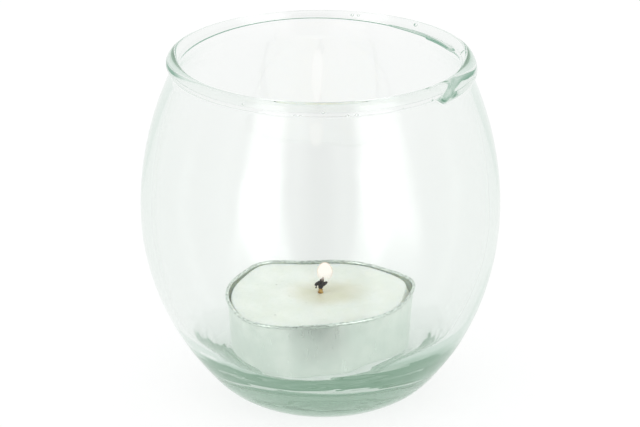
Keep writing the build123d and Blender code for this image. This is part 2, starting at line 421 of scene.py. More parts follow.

# %% [markdown]
# The bowl's glass
#
# Pressed soda-lime glass is clear, with a faint green that only shows where light travels far through it, as
# in the thick foot. A colour in the surface would tint thin and thick glass alike, so the green is an
# absorption inside the mesh, in light lost per metre. Lamps and soft light pass straight through to the
# candle. The renderer stops following a ray that has been mirrored many times, which would draw black lines
# in the foot and the rim. Before that, the glass lets the ray out as room light, as real glass does in the
# end. In the back half of the rim this let-out light is painted a darker green by place, as painted shade
# for the dark green that the rim shows at its sides.

# %% Pressed soda-lime glass
GLASS_TINT = "#a7cab4"
ABSORPTION_PER_METRE = 40.0
GLASS_IOR = 1.52
MIRRORED_LIMIT = 3
BENT_LIMIT = 12
LET_OUT = "#f2f7f5"
LET_OUT_PAINTED_RIM_SHADE = "#7fae99"
RIM_HEIGHTS = (66.0, 68.0)
BEHIND_LAP = (-9.0, -1.0)


def spent_ray(tree, path):
    """1 for rays that the glass has mirrored or bent too often to follow, else 0."""
    depths = (("Glossy Depth", MIRRORED_LIMIT), ("Ray Depth", BENT_LIMIT))
    mirrored, bent = (
        add_node(tree, "Math", OVER, i0=path.outputs[depth], i1=limit - BETWEEN_DEPTHS)
        for depth, limit in depths
    )
    return add_node(tree, "Math", LARGER, i0=mirrored, i1=bent)


def pressed_glass():
    """Fire-polished soda-lime glass: clear, glossy, green in its depth, and with painted shade in the rim's
    let-out light.
    """
    material, tree, output = new_material("pressed_soda_lime_glass")
    white = linear("#ffffff")
    surface = add_node(
        tree, "BsdfPrincipled", Base_Color=white, Roughness=0.0, IOR=GLASS_IOR, Transmission_Weight=1.0
    )
    clear = add_node(tree, "BsdfTransparent", Color=linear("#f6faf8"))
    path = add_node(tree, "LightPath")
    shadow, soft = path.outputs["Is Shadow Ray"], path.outputs["Is Diffuse Ray"]
    lit = add_node(tree, "Math", LARGER, i0=shadow, i1=soft)
    mix = add_node(tree, "MixShader", i0=lit, i1=surface, i2=clear)
    parts = add_node(tree, "SeparateXYZ", Vector=add_node(tree, "TexCoord").outputs["Object"])
    # Painted shade: rays let out in the back half of the rim are given a darker green by place.
    in_rim, behind_lap = (
        add_node(tree, "MapRange", EASED, i0=parts.outputs[axis], i1=none * MM, i2=full * MM)
        for axis, (none, full) in (("Z", RIM_HEIGHTS), ("Y", BEHIND_LAP))
    )
    painted_rim_shade = add_node(tree, "Math", TIMES, i0=in_rim, i1=behind_lap)
    colour = add_node(tree, "Mix", COLOURS, i0=painted_rim_shade, i6=linear(LET_OUT), i7=linear(LET_OUT_PAINTED_RIM_SHADE))
    let_out = add_node(tree, "Emission", Color=colour.outputs[2], Strength=1.0)
    followed = add_node(tree, "MixShader", i0=spent_ray(tree, path), i1=mix, i2=let_out)
    green = add_node(tree, "VolumeAbsorption", Color=linear(GLASS_TINT), Density=ABSORPTION_PER_METRE)
    material.cycles.emission_sampling = "NONE"
    tree.links.new(followed.outputs[0], output.inputs["Surface"])
    tree.links.new(green.outputs[0], output.inputs["Volume"])
    return material


glass = pressed_glass()

# %% [markdown]
# The bowl
#
# A glass bowl is a turned shape, so its section is drawn once and spun round the axis. The section is a
# chain: one vertex is carried along lines and round centres, with the foot, the belly, the bead and the
# inside in turn. Tangent arcs meet without a corner, as the mould's do.


# %% Where two circles meet
def crossings(first, first_radius, second, second_radius):
    """The two points, as radius and height, where two circles cross, the lower one first."""
    a, b = Vector(first), Vector(second)
    apart = (b - a).length
    along = (apart ** 2 + first_radius ** 2 - second_radius ** 2) / (2 * apart)
    across = math.sqrt(first_radius ** 2 - along ** 2)
    direction = (b - a) / apart
    side = Vector((-direction.y, direction.x)) * across
    return sorted((a + direction * along + side, a + direction * along - side), key=lambda point: point.y)


def arc_radius(draw_in, height):
    """Radius of an arc that leaves the belly upright and draws in over a height."""
    return (draw_in ** 2 + height ** 2) / (2 * draw_in)


def bearing(centre, point):
    """Angle of a point about a centre, in the plane of the section."""
    return math.atan2(point[1] - centre[1], point[0] - centre[0])


# %% Centres of the section's arcs
neck_rise = NECK_HEIGHT - BELLY_HEIGHT
outer_high_radius = arc_radius(BELLY_RADIUS - NECK_RADIUS, neck_rise)
inner_belly_radius = BELLY_RADIUS - BELLY_WALL
inner_high_radius = arc_radius(inner_belly_radius - NECK_RADIUS + NECK_WALL, neck_rise)
inner_low_radius = LOWER_ARC_RADIUS - BELLY_WALL
low_centre = (BELLY_RADIUS - LOWER_ARC_RADIUS, BELLY_HEIGHT)
high_centre = (BELLY_RADIUS - outer_high_radius, BELLY_HEIGHT)
inner_high_centre = (inner_belly_radius - inner_high_radius, BELLY_HEIGHT)
bead_centre = (BEAD_CENTRE_RADIUS, BEAD_CENTRE_HEIGHT)
crease_centre = crossings(
    high_centre, outer_high_radius + CREASE_RADIUS, bead_centre, BEAD_RADIUS + CREASE_RADIUS
)[0]
lip_centre = crossings(
    inner_high_centre, inner_high_radius - LIP_RADIUS, bead_centre, BEAD_RADIUS + LIP_RADIUS
)[0]
foot_corner_centre = crossings(
    low_centre, LOWER_ARC_RADIUS - FOOT_CORNER, (FOOT_RADIUS, 0), FOOT_CORNER
)[1]
corner_level = FLOOR_HEIGHT + FLOOR_CORNER
corner_reach = math.sqrt((inner_low_radius - FLOOR_CORNER) ** 2 - (BELLY_HEIGHT - corner_level) ** 2)
floor_corner_centre = (low_centre[0] + corner_reach, corner_level)
print("flat floor to radius %.2f mm" % floor_corner_centre[0])


# %% The bowl's section
def bowl_outside(bm):
    """Draws the dished foot and the outer wall, up to the bead."""
    dish_centre = (0, DISH_DEPTH - arc_radius(DISH_DEPTH, DISH_RADIUS))
    dish_turn = bearing(dish_centre, (DISH_RADIUS, 0)) - math.pi / 2
    foot_start = bearing(foot_corner_centre, (FOOT_RADIUS, 0))
    foot_end = bearing(low_centre, foot_corner_centre)
    crease_turn = wrap(bearing(crease_centre, bead_centre) - bearing(crease_centre, high_centre))
    vertex = bm.verts.new((0, 0, DISH_DEPTH))
    vertex = arc_to(bm, vertex, dish_centre, dish_turn, steps=18)
    vertex = line_to(bm, vertex, FOOT_RADIUS, 0, steps=2)
    vertex = arc_to(bm, vertex, foot_corner_centre, foot_end - foot_start, steps=24)
    vertex = arc_to(bm, vertex, low_centre, -foot_end, steps=28)
    vertex = arc_to(bm, vertex, high_centre, bearing(high_centre, crease_centre), steps=22)
    return arc_to(bm, vertex, crease_centre, crease_turn, steps=4)


def bowl_inside(bm, vertex):
    """Draws the bead, the inner wall and the floor, back to the axis."""
    round_bead = (bearing(bead_centre, lip_centre) - bearing(bead_centre, crease_centre)) % math.tau
    lip_turn = wrap(bearing(inner_high_centre, lip_centre) - bearing(lip_centre, bead_centre))
    corner_turn = bearing(low_centre, floor_corner_centre)
    vertex = arc_to(bm, vertex, bead_centre, round_bead, steps=24)
    vertex = arc_to(bm, vertex, lip_centre, lip_turn, steps=4)
    vertex = arc_to(bm, vertex, inner_high_centre, -bearing(inner_high_centre, lip_centre), steps=60)
    vertex = arc_to(bm, vertex, low_centre, corner_turn, steps=24)
    vertex = arc_to(bm, vertex, floor_corner_centre, -math.pi / 2 - corner_turn, steps=26)
    line_to(bm, vertex, 0, FLOOR_HEIGHT, steps=36)


# %% Turn the bowl
LAP_STRETCH = (-48.0, 12.0)
STEPS_AT_LAP = 96
STEPS_ELSEWHERE = 160
bowl_mesh = bmesh.new()
bowl_inside(bowl_mesh, bowl_outside(bowl_mesh))
print("section of", len(bowl_mesh.verts), "points")
at_lap = math.radians(LAP_STRETCH[1] - LAP_STRETCH[0])
bowl_stretches = ((at_lap, STEPS_AT_LAP), (math.tau - at_lap, STEPS_ELSEWHERE))
turn_section(bowl_mesh, bowl_stretches, math.radians(LAP_STRETCH[0]))

# %% [markdown]
# The uneven rim
#
# Hand-pressed glass is never quite round. The bead was drawn round the hot rim, and its last end ran over its
# first: there it is thick and hangs lower, ends bluntly towards the front, and fades out to the right. At the
# back it is thinner, and at the back right a thin tongue of glass hangs from it on the inside. A sculptor
# would push clay. Here the points near the bead are pushed away from its middle, or drawn to its top, less
# and less with distance, so that the wall below stays whole. Angles are in degrees from the right, and -90 is
# the front.

# %% Shape the bead
BEAD_REACH = 4.5
BEAD_MARGIN = 0.05
LAP_RADIUS = 1.95
LAP_OUT = 0.35
LAP_DOWN = 0.55
LAP_START = -42.0
LAP_SLANT = 17.0
LAP_RISE = 4.0
LAP_FADE = (-17.0, 8.0)
THIN_BEAD = 0.42
THIN_BEAD_AT = (97.0, 52.0)
THIN_BEAD_TOP = (0.5, 0.87)


def bead_rule(radius, angle, height):
    """Swells the bead between the lap's two ends, and thins it at the back."""
    away = Vector((radius - BEAD_CENTRE_RADIUS, height - BEAD_CENTRE_HEIGHT))
    if away.length > BEAD_REACH:
        return radius, angle, height
    near = 1 - smooth_step(away.length, BEAD_RADIUS + BEAD_MARGIN, BEAD_REACH)
    facing = math.atan2(away.y, away.x)
    start = LAP_START + LAP_SLANT * (1 - math.cos(facing + math.pi / 4)) / 2
    share = near * smooth_step(angle, start, start + LAP_RISE) * (1 - smooth_step(angle, *LAP_FADE))
    grown = away * (1 + (LAP_RADIUS - BEAD_RADIUS) * share / max(away.length, BEAD_RADIUS))
    grown += Vector((LAP_OUT, -LAP_DOWN)) * share
    from_back = wrap(angle - THIN_BEAD_AT[0], FULL_CIRCLE)
    thinning = THIN_BEAD * near * hump(from_back, 0, THIN_BEAD_AT[1])
    grown = grown.lerp(Vector(THIN_BEAD_TOP) * BEAD_RADIUS, thinning)
    return BEAD_CENTRE_RADIUS + grown.x, angle, BEAD_CENTRE_HEIGHT + grown.y


print("bead moved by up to %.2f mm" % move_points(bowl_mesh, bead_rule))

# %% Hang the tongue
TONGUE_STRETCH = (14.0, 90.0)
TONGUE_DROP = 3.6
TONGUE_PROUD = 0.5
TONGUE_EDGE = (-0.3, 0.2)
TONGUE_ROOT = (-1.0, 0.4)


def tongue_rule(radius, angle, height):
    """Hangs a thin tongue of glass from the bead, down the inside of the neck at the back right."""
    along = (angle - TONGUE_STRETCH[0]) / (TONGUE_STRETCH[1] - TONGUE_STRETCH[0])
    inside = radius <= NECK_RADIUS - NECK_WALL / 2 and height >= NECK_HEIGHT - 2 * TONGUE_DROP
    if not inside or not 0 < along < 1:
        return radius, angle, height
    edge = BEAD_CENTRE_HEIGHT - TONGUE_DROP * math.sin(math.pi * along)
    share = smooth_step(height, edge + TONGUE_EDGE[0], edge + TONGUE_EDGE[1])
    share *= 1 - smooth_step(height, BEAD_CENTRE_HEIGHT + TONGUE_ROOT[0], BEAD_CENTRE_HEIGHT + TONGUE_ROOT[1])
    return radius - TONGUE_PROUD * share, angle, height


print("tongue stands %.2f mm proud" % move_points(bowl_mesh, tongue_rule))

# %% [markdown]
# The uneven foot
#
# The foot was pressed in a mould, and sits a little to the right. Its inner skin is thicker than the section
# says, least at the front and most at the front right, and both skins carry long shallow ripples that run
# round the bowl. Bump in the material would ripple the highlights alone. Glass bends the light by its true
# shape, so the points themselves are moved.

# %% Ripples
RIPPLE_AROUND = 2.4
RIPPLE_UP = 1.5
# Each layer of a noise has how much finer it is than the first, and how strong.
RIPPLE_LAYERS = ((1.0, 1.0), (2.3, 0.5), (5.1, 0.3))


def layered_noise(place, layers):
    """A sum of noises, each finer and fainter than the one before."""
    return sum(strength * noise.noise(place * finer) for finer, strength in layers)


def ripple(angle, level, shift):
    """Long shallow waves that run mostly round the bowl."""
    turn = math.radians(angle)
    x, y = math.cos(turn) * RIPPLE_AROUND, math.sin(turn) * RIPPLE_AROUND
    return layered_noise(Vector((x, y, level / RIPPLE_UP + shift)), RIPPLE_LAYERS)


# %% Shape the foot
TOUCH = 0.01
LEAN = 0.7
LEAN_HEIGHT = 34.0
RIPPLE_OUTSIDE = 0.07
OUTSIDE_SHIFT = 7.0
OUTSIDE_FADES = (8.0, 22.0)
STANDING_RING = (0.02, 1.5)
RIPPLE_INSIDE = 0.13
THICKER = 0.4
THIN_AT = (-104.0, 22.0)
THICKER_RIGHT = 0.35
THICK_AT = (-40.0, 30.0)
THICK_RADII = (18.4, 22.5)
THICK_FADES = (12.0, 19.0)


def is_outside(radius, height):
    """True on the outer skin below the belly."""
    middle = LOWER_ARC_RADIUS - BELLY_WALL / 2
    return math.dist((radius, height), low_centre) > middle or height < FLOOR_HEIGHT - TOUCH


def foot_rule(radius, angle, height):
    """Leans the outer skin to the right, and thickens and ripples the inner one round the flat floor."""
    if height > LEAN_HEIGHT:
        return radius, angle, height
    if is_outside(radius, height):
        low = (1 - smooth_step(height, *OUTSIDE_FADES)) * smooth_step(height, *STANDING_RING)
        reach = radius + RIPPLE_OUTSIDE * ripple(angle, height, OUTSIDE_SHIFT) * low
        turn = math.radians(angle)
        x = reach * math.cos(turn) + LEAN * (1 - smooth_step(height, 0, LEAN_HEIGHT))
        y = reach * math.sin(turn)
        return math.hypot(x, y), math.degrees(math.atan2(y, x)), height
    share = smooth_step(radius, *THICK_RADII) * (1 - smooth_step(height, *THICK_FADES))
    inward = (Vector(floor_corner_centre) - Vector((radius, height))).normalized()
    thick = THICKER * (1 - hump(wrap(angle - THIN_AT[0], FULL_CIRCLE), 0, THIN_AT[1]))
    thick += THICKER_RIGHT * hump(angle, *THICK_AT)
    inward *= share * (thick + RIPPLE_INSIDE * ripple(angle, height, 0.0))
    return radius + inward.x, angle, height + inward.y


print("foot moved by up to %.2f mm" % move_points(bowl_mesh, foot_rule))

# %% [markdown]
# Press marks and seeds
#
# Hot glass sets in faint waves where it first meets the cold iron: on the floor under the cup's raised panel,
# and in the dish under the foot. Seeds are small bubbles that never left the melt. A seed could be painted as
# a spot, but a real one is a hollow that bends light, so each is a small closed ball in the bead, turned
# inside out.

# %% Press marks
FLOOR_MARK = 0.16
FLOOR_MARK_REACH = (9.0, 12.0)
DISH_MARK = 0.12
DISH_MARK_REACH = (6.0, 10.5)
MARK_WIDTH = 3.4
MARK_STRETCH = 1.6
MARK_LAYERS = ((1.0, 0.5), (2.7, 0.25))


def press_rule(radius, angle, height):
    """Chill waves on the floor under the cup's raised panel, and in the dish under the foot."""
    turn = math.radians(angle)
    place = Vector((radius * math.cos(turn), radius * math.sin(turn) * MARK_STRETCH, height)) / MARK_WIDTH
    wave = 0.5 + layered_noise(place, MARK_LAYERS)
    if abs(height - FLOOR_HEIGHT) < TOUCH:
        height -= FLOOR_MARK * wave * (1 - smooth_step(radius, *FLOOR_MARK_REACH))
    elif height < DISH_DEPTH + TOUCH and radius < DISH_RADIUS:
        height += DISH_MARK * wave * (1 - smooth_step(radius, *DISH_MARK_REACH))
    return radius, angle, height


print("press marks up to %.2f mm deep" % move_points(bowl_mesh, press_rule))

# %% Add seeds
# Each has an angle, a height and a radius.
SEEDS = (
    (-89.0, 69.3, 0.20), (-97.5, 68.7, 0.26), (-99.5, 68.8, 0.20), (-80.0, 68.8, 0.22), (-76.5, 68.8, 0.26),
    (-58.0, 68.8, 0.22), (-44.0, 69.0, 0.26), (77.0, 70.3, 0.24), (74.5, 70.3, 0.20), (48.0, 70.2, 0.30),
    (8.0, 69.6, 0.22), (-120.0, 69.5, 0.16),
)
SEED_SHAPE = (1.0, 1.6, 0.9, 1.0)
for angle, level, radius in SEEDS:
    turn = math.radians(angle)
    centre = (BEAD_CENTRE_RADIUS * math.cos(turn), BEAD_CENTRE_RADIUS * math.sin(turn), level)
    place = Matrix.Translation(centre) @ Matrix.Rotation(turn, 4, "Z") @ Matrix.Diagonal(SEED_SHAPE)
    seed = bmesh.ops.create_icosphere(bowl_mesh, subdivisions=2, radius=radius, matrix=place)
    bmesh.ops.reverse_faces(bowl_mesh, faces=list({face for v in seed["verts"] for face in v.link_faces}))
print(len(SEEDS), "seeds in the bead")

bowl = new_object("bowl_glass", bowl_mesh, glass)
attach(bowl, "bowl")
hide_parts("glass_base", "glass_wall")

# %% [markdown]
# The aluminium cup
#
# A tealight cup is drawn from thin aluminium sheet in a press. Its rim is rolled outwards, and its floor has
# a round panel pressed upwards. The section is spun like the bowl's, and then the whole cup is squeezed out
# of round by the same bulges as the solid, because fingers have bent it.

# %% Sizes of the cup
WICK_FROM_CUP = 0.5
CUP_X = WICK_X - WICK_FROM_CUP
CUP_Y = WICK_Y - WICK_FROM_CUP
RIM_RADIUS = 18.3
BASE_RADIUS = 17.3
FOIL = 0.2
FOIL_CORNER = 0.9
ROLL_RADIUS = 0.35
ROLL_OUT = 0.05
ROLL_IN = 0.06
ROLL_NECK = 0.1
ROLL_TURN = math.radians(285)
PANEL_RADIUS = 12.5
PANEL_RISE = 0.4
PANEL_SLOPE = 0.1
# Each bulge has a direction and a spread in degrees, and its height at the rim and the foot as shares.
BULGES = (
    (-127, 24, 0.107, 0.032), (125, 17, 0.120, 0.036), (17, 17, 0.095, 0.030), (99, 31, -0.117, -0.035),
    (-74, 37, -0.074, -0.022), (-5, 27, 0.0, 0.075),
)
SQUEEZED_FROM = 13.0
SQUEEZED_TO = 16.0


def outline_radius(angle, share):
    """Radius of the cup's outer wall at an angle and a share of its height."""
    rim, base = RIM_RADIUS, BASE_RADIUS
    for middle, spread, at_rim, at_base in BULGES:
        share_here = RIM_RADIUS * hump(wrap(angle - middle, FULL_CIRCLE), 0, spread)
        rim += at_rim * share_here
        base += at_base * share_here
    return base + (rim - base) * share


def squeeze(radius, angle, height):
    """Moves a point of a round cup to the same place on the squeezed one."""
    share = smooth_step(radius, SQUEEZED_FROM, SQUEEZED_TO)
    return radius + (outline_radius(angle, height / CUP_HEIGHT) - BASE_RADIUS) * share


# %% The cup's section
CUP_STEPS = 240
cup_mesh = bmesh.new()
roll_centre = (BASE_RADIUS + ROLL_OUT, CUP_HEIGHT - ROLL_RADIUS)
roll_start = (roll_centre[0] - ROLL_IN, roll_centre[1] - ROLL_RADIUS)
foil_corner_centre = (BASE_RADIUS - FOIL_CORNER, FOIL_CORNER)
point = cup_mesh.verts.new((0, 0, PANEL_RISE))
point = line_to(cup_mesh, point, PANEL_RADIUS - FOIL, PANEL_RISE, steps=4)
point = line_to(cup_mesh, point, PANEL_RADIUS + PANEL_SLOPE, 0, steps=2)
point = line_to(cup_mesh, point, BASE_RADIUS - FOIL_CORNER, 0, steps=4)
point = arc_to(cup_mesh, point, foil_corner_centre, math.pi / 2, steps=6)
point = line_to(cup_mesh, point, BASE_RADIUS, roll_start[1] - ROLL_NECK, steps=26)
point = line_to(cup_mesh, point, *roll_start)
point = arc_to(cup_mesh, point, roll_centre, ROLL_TURN, steps=16)
point = line_to(cup_mesh, point, BASE_RADIUS - FOIL, roll_start[1] - ROLL_NECK, steps=2)
point = line_to(cup_mesh, point, BASE_RADIUS - FOIL, FOIL_CORNER, steps=24)
point = arc_to(cup_mesh, point, foil_corner_centre, -math.pi / 2, steps=5)
point = line_to(cup_mesh, point, PANEL_RADIUS + PANEL_SLOPE + FOIL, FOIL, steps=4)
point = line_to(cup_mesh, point, PANEL_RADIUS, FOIL + PANEL_RISE, steps=2)
point = line_to(cup_mesh, point, 0, FOIL + PANEL_RISE, steps=4)
print("cup section of", len(cup_mesh.verts), "points")
turn_section(cup_mesh, ((math.tau, CUP_STEPS),))

# %% [markdown]
# Dents and pleats
#
# Foil this thin shows every touch. A few shallow dents, each with an angle, a height, two spreads and a
# depth, push both skins of the wall in together. Under the roll the drawn sheet has gathered in fine upright
# pleats, which are a noise wound round the cup, with no height in it.

# %% Dent the cup
DENTS = (
    (-146.0, 8.2, 5.0, 1.6, 0.30),
    (-131.0, 9.3, 3.0, 1.0, 0.22),
    (-96.0, 6.0, 9.0, 3.2, 0.18),
    (-60.0, 8.8, 4.0, 1.5, 0.20),
    (-38.0, 9.2, 3.5, 1.2, 0.22),
    (-20.0, 7.5, 7.0, 4.0, 0.25),
    (70.0, 7.0, 8.0, 3.0, 0.25),
    (110.0, 5.0, 6.0, 3.0, 0.20),
)
PLEAT_DEPTH = 0.035
PLEATS = 70
# A circle of radius 1 passes through about 6 waves of the noise.
WAVES_PER_RADIUS = 6
PLEAT_HEIGHTS = (2.0, 9.0)


def cup_rule(radius, angle, height):
    """Squeezes the cup out of round, with dents and pleats in its wall."""
    share = smooth_step(radius, SQUEEZED_TO, BASE_RADIUS - FOIL)
    dent = sum(
        depth * hump(wrap(angle - middle, FULL_CIRCLE), 0, wide) * hump(height, level, tall)
        for middle, level, wide, tall, depth in DENTS
    )
    turn = math.radians(angle)
    wave = noise.noise(Vector((math.cos(turn), math.sin(turn), 0)) * PLEATS / WAVES_PER_RADIUS)
    pleat = PLEAT_DEPTH * wave * smooth_step(height, *PLEAT_HEIGHTS)
    return squeeze(radius, angle, height) - (dent + pleat) * share, angle, height


print("cup squeezed by up to %.2f mm" % move_points(cup_mesh, cup_rule))
bmesh.ops.translate(cup_mesh, vec=(CUP_X, CUP_Y, FLOOR_HEIGHT), verts=cup_mesh.verts[:])

# %% [markdown]
# The foil's finish
#
# The cup is mill-finish aluminium: pale, satin, never polished. Drawing it through the die left marks that
# run upright, and handling has clouded it. The patchy dark grey band along the top of its roll is painted
# shade. A flat grey metal would look like steel, so the colour is nearly white, with a faint painted green
# for the light that reaches the cup through the glass, and a noise that is stretched upright varies the
# roughness and bump.
# The real marks are finer than the render can show, so they are drawn 0.35 mm apart.

# %% Drawn aluminium
MARKS_APART = 0.35
MARK_LENGTHENING = 0.08
CLOUDS_APART = 6.0
ROLL_SHADE_APART = 0.9
ROLL_SHADE_FLATTENING = 5.0
ROLL_SHADE_LIMITS = (0.46, 0.60)
ROLL_SHADE_SHARE = 0.5
ROLL_BELOW_TOP = (0.95, 0.65)


def drawn_aluminium():
    """Thin mill-finish aluminium: pale and satin, with upright drawing marks, clouding, painted green light
    and painted shade on the roll.
    """
    material, tree, output = new_material("drawn_mill_finish_aluminium")
    place = add_node(tree, "TexCoord").outputs["Object"]
    upright = add_node(tree, "Mapping", Vector=place, Scale=(1.0, 1.0, MARK_LENGTHENING))
    marks = add_node(tree, "TexNoise", Vector=upright, Scale=1 / (MARKS_APART * MM), Detail=3.0)
    clouds = add_node(tree, "TexNoise", Vector=place, Scale=1 / (CLOUDS_APART * MM), Detail=3.0)
    cloudy = add_node(tree, "MapRange", EASED, i0=clouds, i1=0.35, i2=0.7)
    # The faint green of both colours is painted light: the green of the light that reaches the cup through
    # the glass.
    colour = add_node(tree, "Mix", COLOURS, i0=cloudy, i6=linear("#dfeae1"), i7=linear("#ecf4ec"))
    # Painted shade: a patchy dark grey band along the top of the roll, where the roll shows a dark line.
    flat = add_node(tree, "Mapping", Vector=place, Scale=(1.0, 1.0, ROLL_SHADE_FLATTENING))
    roll_shade_noise = add_node(tree, "TexNoise", Vector=flat, Scale=1 / (ROLL_SHADE_APART * MM), Detail=3.0)
    roll_shade_patches = add_node(tree, "MapRange", EASED, i0=roll_shade_noise, i1=ROLL_SHADE_LIMITS[0], i2=ROLL_SHADE_LIMITS[1])
    level = add_node(tree, "SeparateXYZ", Vector=place).outputs["Z"]
    none, full = ((FLOOR_HEIGHT + CUP_HEIGHT - below) * MM for below in ROLL_BELOW_TOP)
    on_roll = add_node(tree, "MapRange", EASED, i0=level, i1=none, i2=full)
    painted_roll_shade = add_node(tree, "Math", TIMES, i0=roll_shade_patches, i1=on_roll)
    painted_roll_shade = add_node(tree, "Math", TIMES, i0=painted_roll_shade, i1=ROLL_SHADE_SHARE)
    colour = add_node(tree, "Mix", COLOURS, i0=painted_roll_shade, i6=colour.outputs[2], i7=linear("#96a096"))
    rough = add_node(tree, "MapRange", i0=marks, i1=0.3, i2=0.7, i3=0.27, i4=0.38)
    bump = add_node(tree, "Bump", Strength=0.12, Distance=0.02 * MM, Height=marks)
    metal = add_node(
        tree, "BsdfPrincipled", Base_Color=colour.outputs[2], Metallic=1.0, Roughness=rough, Normal=bump
    )
    tree.links.new(metal.outputs[0], output.inputs["Surface"])
    return material


cup = new_object("tealight_foil_cup", cup_mesh, drawn_aluminium())
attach(cup, "tealight")
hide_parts("tealight_cup")

# %% [markdown]
# The wax
#
# Paraffin wax is cast into the cup and shrinks a little from the foil as it sets. Round the flame it has
# melted again into a clear pool that is lower than the set wax. The pill is spun and squeezed like the cup,
# and the pool is pressed into its top by moving points, because its edge is uneven.

# %% The wax's section
WAX_GAP = 0.3
WAX_EDGE = 0.35
WAX_CORNER = 0.9
WAX_STEPS = 180
HOLDER_ROOM = 0.05
wax_radius = BASE_RADIUS - WAX_GAP
wax_foot = WAX_LOW - FLOOR_HEIGHT
wax_top = WAX_TOP - FLOOR_HEIGHT
pocket_roof = HOLDER_LOW - FLOOR_HEIGHT + HOLDER_ROOM
pocket_radius = PANEL_RADIUS + WAX_GAP
wax_mesh = bmesh.new()
point = wax_mesh.verts.new((0, 0, pocket_roof))
point = line_to(wax_mesh, point, pocket_radius, pocket_roof, steps=6)
point = line_to(wax_mesh, point, pocket_radius, wax_foot)
point = line_to(wax_mesh, point, wax_radius - WAX_CORNER, wax_foot, steps=3)
point = arc_to(wax_mesh, point, (wax_radius - WAX_CORNER, wax_foot + WAX_CORNER), math.pi / 2, steps=5)
point = line_to(wax_mesh, point, wax_radius, wax_top - WAX_EDGE, steps=12)
point = arc_to(wax_mesh, point, (wax_radius - WAX_EDGE, wax_top - WAX_EDGE), math.pi / 2, steps=5)
point = line_to(wax_mesh, point, 0, wax_top, steps=48)
print("wax section of", len(wax_mesh.verts), "points")
turn_section(wax_mesh, ((math.tau, WAX_STEPS),))

# %% Shrink the wax
WAX_TOP_GAP = 0.2
GAP_DEPTH = 2.6
# Each gap has a direction and a spread in degrees, and a width as a share of the rim's radius.
WAX_SHRINK = ((8, 24, 0.055), (165, 26, 0.025))


def wax_rule(radius, angle, height):
    """Squeezes the wax to the cup's outline and shrinks its upper part from the foil, most in two places."""
    gap = WAX_TOP_GAP + sum(
        share * RIM_RADIUS * hump(wrap(angle - middle, FULL_CIRCLE), 0, spread)
        for middle, spread, share in WAX_SHRINK
    )
    gap *= smooth_step(height, wax_top - GAP_DEPTH, wax_top)
    gap *= smooth_step(radius, SQUEEZED_FROM, SQUEEZED_TO)
    return squeeze(radius, angle, height) - gap, angle, height


print("wax squeezed by up to %.2f mm" % move_points(wax_mesh, wax_rule))

# %% Press in the pool
POOL_X = 1.6
POOL_Y = 0.0
POOL_ACROSS = 1.1
POOL_RADIUS = 8.0
POOL_DEPTH = 0.18
SHORE = (-2.6, 1.4)
SHORE_WANDER = 1.6
SHORE_BENDS = 0.22
TOP_RIPPLE = 0.05
TOP_BENDS = 0.35


def pool_share(x, y):
    """1 in the middle of the melted pool, 0 on set wax, with an uneven shore."""
    away = math.hypot(x - POOL_X, (y - POOL_Y) * POOL_ACROSS)
    shore = POOL_RADIUS + SHORE_WANDER * noise.noise(Vector((x, y, 0)) * SHORE_BENDS)
    return 1 - smooth_step(away, shore + SHORE[0], shore + SHORE[1])


for vertex in wax_mesh.verts:
    if vertex.co.z > wax_top - TOUCH:
        sunk = TOP_RIPPLE * (1 - noise.noise(vertex.co * TOP_BENDS))
        vertex.co.z -= sunk + POOL_DEPTH * pool_share(vertex.co.x + CUP_X, vertex.co.y + CUP_Y)
bmesh.ops.translate(wax_mesh, vec=(CUP_X, CUP_Y, FLOOR_HEIGHT), verts=wax_mesh.verts[:])
print("pool of radius %.1f mm, %.2f mm deep" % (POOL_RADIUS, POOL_DEPTH))

# %% [markdown]
# The wax's finish
#
# Set paraffin is milky, because light wanders inside it, and has a fine satin bloom with a few specks of
# soot. The melted pool is smoother and more olive. The pool's colour follows the distance from its middle,
# made uneven by two noises, and the specks are the middles of a few cells of a Voronoi pattern. The bloom's
# real grain is too fine to show in the render, so it is drawn 0.4 mm apart.

# %% Paraffin wax
BLOOM_APART = 0.4
PATCHES_APART = 5.0
SPECKS_APART = 2.8
SPECK_SIZE = 0.07
SPECKS_LEFT_OUT = 0.7
SHORE_PUSHED = (-2.6, -3.0)
POOL_FADES = (0.2, 7.4)
WAX_TOP_FADES = (-1.2, -0.6)
WAX_IOR = 1.44


def wax_pool(tree, place, bloom):
    """1 in the melted pool and 0 on set wax, with a grainy shore, on the top of the wax alone."""
    noise_plane = {"noise_dimensions": "2D"}
    warped = add_node(tree, "TexNoise", noise_plane, Vector=place, Scale=SHORE_BENDS / MM, Detail=3.0)
    middle = (-POOL_X * MM, -POOL_Y * MM, 0)
    around = add_node(tree, "Mapping", Vector=place, Location=middle, Scale=(1.0, POOL_ACROSS, 0.0))
    away = add_node(tree, "VectorMath", {"operation": "LENGTH"}, i0=around).outputs["Value"]
    shore = add_node(tree, "Math", TIMES_PLUS, i0=warped, i1=SHORE_PUSHED[0] * MM, i2=away)
    shore = add_node(tree, "Math", TIMES_PLUS, i0=bloom, i1=SHORE_PUSHED[1] * MM, i2=shore)
    level = add_node(tree, "SeparateXYZ", Vector=place).outputs["Z"]
    none, full = ((WAX_TOP + fade) * MM for fade in WAX_TOP_FADES)
    top = add_node(tree, "MapRange", EASED, i0=level, i1=none, i2=full)
    near, far = (fade * MM for fade in POOL_FADES)
    melted = add_node(tree, "MapRange", EASED, i0=shore, i1=near, i2=far, i3=1.0, i4=0.0)
    return add_node(tree, "Math", TIMES, i0=melted, i1=top)


def soot_specks(tree, place):
    """1 in the middle of a few cells, and 0 elsewhere."""
    cells = add_node(tree, "TexVoronoi", Vector=place, Scale=1 / (SPECKS_APART * MM))
    middle = add_node(tree, "Math", UNDER, i0=cells.outputs["Distance"], i1=SPECK_SIZE)
    lot = add_node(tree, "SeparateColor", Color=cells.outputs["Color"])
    chosen = add_node(tree, "Math", OVER, i0=lot, i1=SPECKS_LEFT_OUT)
    return add_node(tree, "Math", TIMES, i0=middle, i1=chosen)


